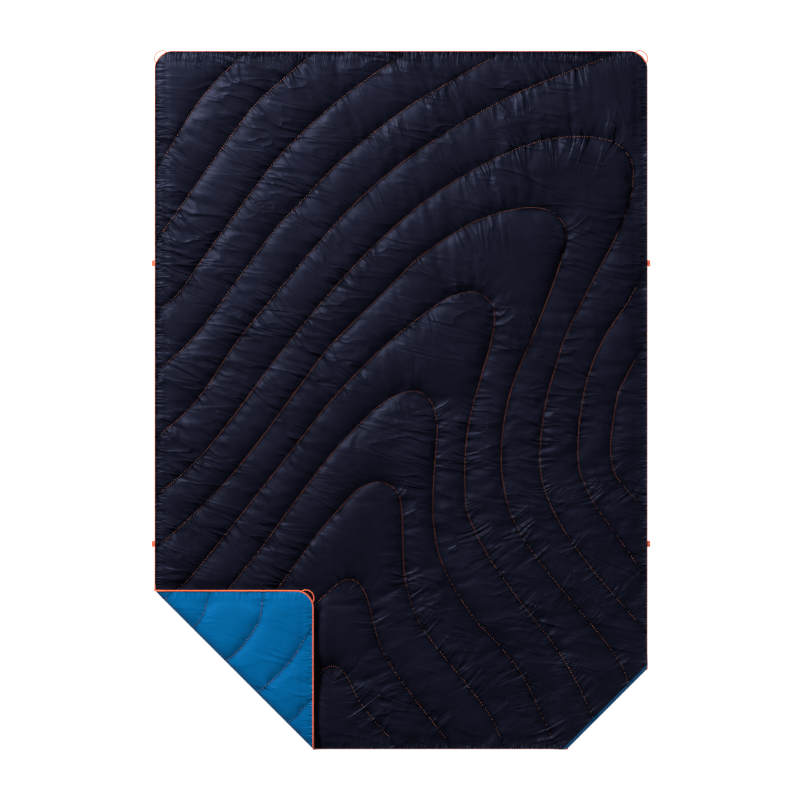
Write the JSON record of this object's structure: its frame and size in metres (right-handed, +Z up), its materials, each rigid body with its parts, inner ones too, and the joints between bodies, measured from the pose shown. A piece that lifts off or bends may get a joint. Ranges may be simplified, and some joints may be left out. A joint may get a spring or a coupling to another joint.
{
  "type": "camp blanket",
  "caption": "Quilted camp blanket lying flat, one foot corner folded over its face and one folded under, with cord loops at the corners and tabs on the long edges.",
  "frame": {"origin": "on the surface the blanket lies on, under the middle of its width and length", "axes": "+Z up out of the face, +Y along the length towards the head end, +X to the right seen from above"},
  "size_m": [1.334, 1.8726, 0.0425],
  "materials": {
    "face_fabric": "navy ripstop nylon with a soft satin sheen",
    "lining_fabric": "blue nylon taffeta with a soft satin sheen",
    "fill": "off-white polyester wadding",
    "piping": "orange corded piping",
    "loop_cord": "orange braided cord",
    "tab_webbing": "orange woven webbing",
    "thread": "orange polyester sewing thread"
  },
  "bodies": {
    "blanket": {"face_shell": "face_fabric", "lining_shell": "lining_fabric", "fill_channel_01": "fill", "fill_channel_02": "fill", "fill_channel_03": "fill", "fill_channel_04": "fill", "fill_channel_05": "fill", "fill_channel_06": "fill", "fill_channel_07": "fill", "fill_channel_08": "fill", "fill_channel_09": "fill", "fill_channel_10": "fill", "fill_channel_11": "fill", "fill_channel_12": "fill", "fill_channel_13": "fill", "fill_channel_14": "fill", "fill_channel_15": "fill", "quilt_thread_01": "thread", "quilt_thread_02": "thread", "quilt_thread_03": "thread", "quilt_thread_04": "thread", "quilt_thread_05": "thread", "quilt_thread_06": "thread", "quilt_thread_07": "thread", "quilt_thread_08": "thread", "quilt_thread_09": "thread", "quilt_thread_10": "thread", "quilt_thread_11": "thread", "quilt_thread_12": "thread", "quilt_thread_13": "thread", "quilt_thread_14": "thread", "edge_piping": "piping", "foot_piping": "piping"},
    "front_flap": {"front_flap_face": "face_fabric", "front_flap_lining": "lining_fabric", "front_flap_fill": "fill", "front_flap_piping": "piping", "front_flap_quilt_thread_09": "thread", "front_flap_quilt_thread_10": "thread", "front_flap_quilt_thread_11": "thread", "front_flap_quilt_thread_12": "thread"},
    "under_flap": {"under_flap_face": "face_fabric", "under_flap_lining": "lining_fabric", "under_flap_fill": "fill", "under_flap_piping": "piping", "under_flap_quilt_thread_07": "thread", "under_flap_quilt_thread_08": "thread"},
    "head_left_loop": {"head_left_corner_loop": "loop_cord"},
    "head_right_loop": {"head_right_corner_loop": "loop_cord"},
    "front_flap_loop": {"front_flap_corner_loop": "loop_cord"},
    "under_flap_loop": {"under_flap_corner_loop": "loop_cord"},
    "left_head_tab": {"left_head_tab": "tab_webbing"},
    "left_foot_tab": {"left_foot_tab": "tab_webbing"},
    "right_head_tab": {"right_head_tab": "tab_webbing"},
    "right_foot_tab": {"right_foot_tab": "tab_webbing"}
  },
  "joints": [
    {"name": "front_fold", "type": "hinge", "parent": "blanket", "child": "front_flap", "pos_m": [-0.446, -0.721, 0.0207], "axis": [0.7071, -0.7071, 0], "range_deg": [0, 180]},
    {"name": "under_fold", "type": "hinge", "parent": "blanket", "child": "under_flap", "pos_m": [0.552, -0.827, 0.0117], "axis": [-0.7071, -0.7071, 0], "range_deg": [0, 180]},
    {"name": "head_left_loop_swing", "type": "hinge", "parent": "blanket", "child": "head_left_loop", "pos_m": [-0.64651, 0.92151, 0.01], "axis": [0.7071, 0.7071, 0], "range_deg": [-85, 85]},
    {"name": "head_right_loop_swing", "type": "hinge", "parent": "blanket", "child": "head_right_loop", "pos_m": [0.64651, 0.92151, 0.01], "axis": [0.7071, -0.7071, 0], "range_deg": [-85, 85]},
    {"name": "front_flap_loop_swing", "type": "hinge", "parent": "front_flap", "child": "front_flap_loop", "pos_m": [-0.24549, -0.52049, 0.0314], "axis": [0.7071, -0.7071, 0], "range_deg": [-60, 85]},
    {"name": "under_flap_loop_swing", "type": "hinge", "parent": "under_flap", "child": "under_flap_loop", "pos_m": [0.45749, -0.73249, 0.0055], "axis": [0.7071, 0.7071, 0], "range_deg": [-20, 25]},
    {"name": "left_head_tab_swing", "type": "hinge", "parent": "blanket", "child": "left_head_tab", "pos_m": [-0.6615, 0.366, 0.01], "axis": [0, 1, 0], "range_deg": [-85, 85]},
    {"name": "left_foot_tab_swing", "type": "hinge", "parent": "blanket", "child": "left_foot_tab", "pos_m": [-0.6615, -0.385, 0.01], "axis": [0, 1, 0], "range_deg": [-85, 85]},
    {"name": "right_head_tab_swing", "type": "hinge", "parent": "blanket", "child": "right_head_tab", "pos_m": [0.6615, 0.366, 0.01], "axis": [0, -1, 0], "range_deg": [-85, 85]},
    {"name": "right_foot_tab_swing", "type": "hinge", "parent": "blanket", "child": "right_foot_tab", "pos_m": [0.6615, -0.385, 0.01], "axis": [0, -1, 0], "range_deg": [-85, 85]}
  ]
}
